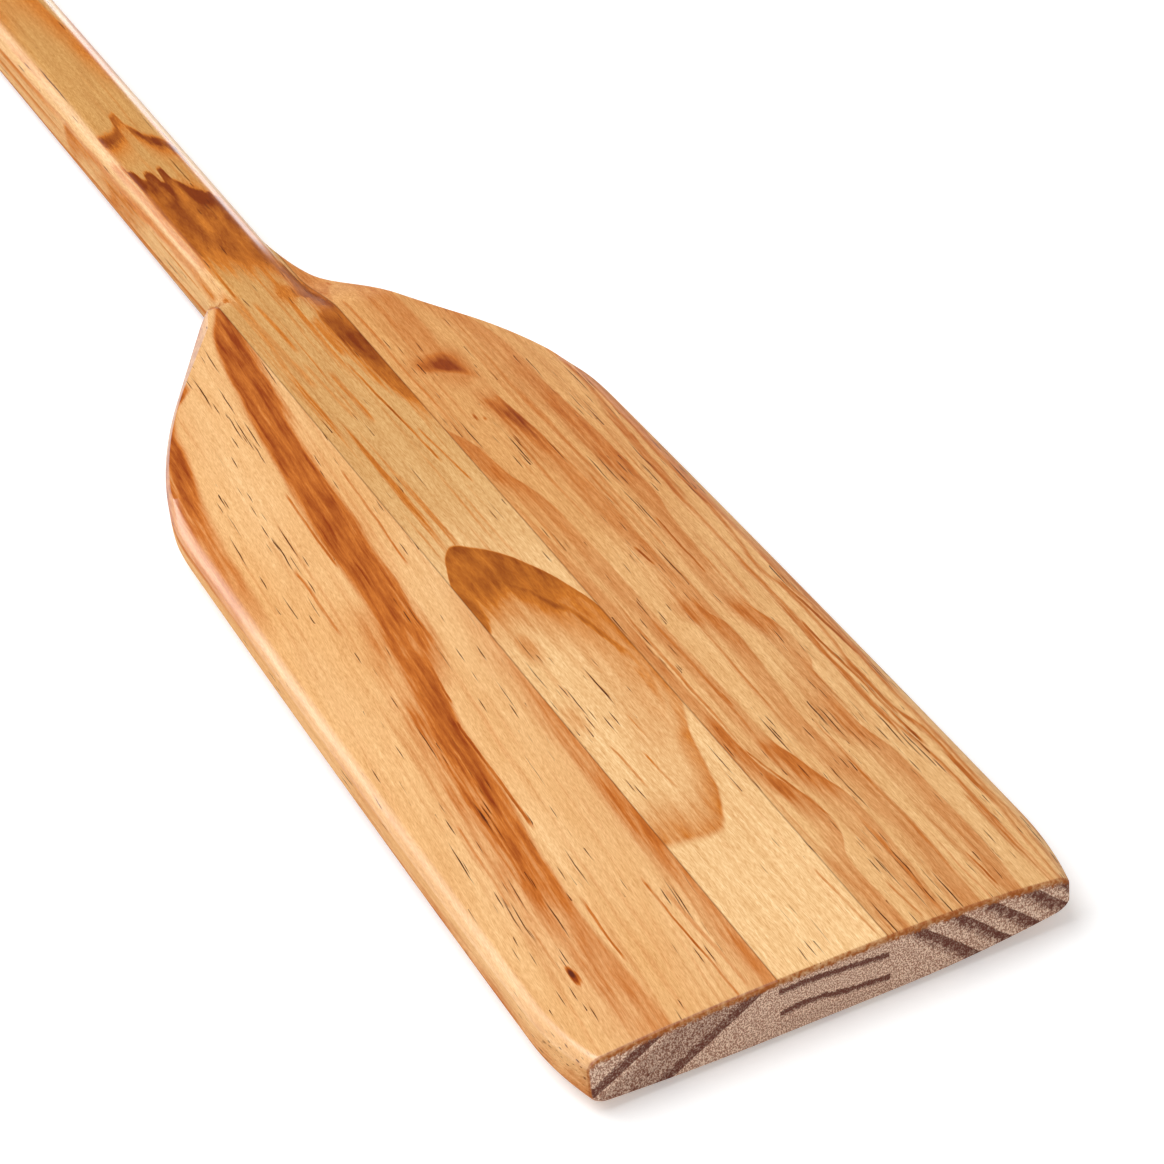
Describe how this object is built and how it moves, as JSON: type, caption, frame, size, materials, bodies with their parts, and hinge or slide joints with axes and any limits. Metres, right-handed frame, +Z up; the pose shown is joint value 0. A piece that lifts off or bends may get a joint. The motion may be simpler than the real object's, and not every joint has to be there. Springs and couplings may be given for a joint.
{
  "type": "boat paddle",
  "caption": "Varnished wooden boat paddle with a straight shaft, a palm grip and a broad square-ended blade built up from glued laminations.",
  "frame": {"origin": "under the middle of the bounding box, on the surface that the paddle lies on", "axes": "+Y along the paddle from the blade's tip to the grip, +X across it to the right, +Z up out of the blade's face"},
  "size_m": [0.1424, 1.22, 0.0222],
  "materials": {
    "core": "satin varnish on pine, golden tan with a brown figure",
    "wing_left": "satin varnish on pine, pale tan with brown bands",
    "wing_right": "satin varnish on pine, pinkish tan with fine brown streaks",
    "cheek_left": "satin varnish on pine",
    "cheek_right": "satin varnish on pine"
  },
  "bodies": {
    "root": {"shaft_core": "core", "blade_wing_left": "wing_left", "blade_wing_right": "wing_right", "grip_cheek_left": "cheek_left", "grip_cheek_right": "cheek_right"}
  },
  "joints": []
}
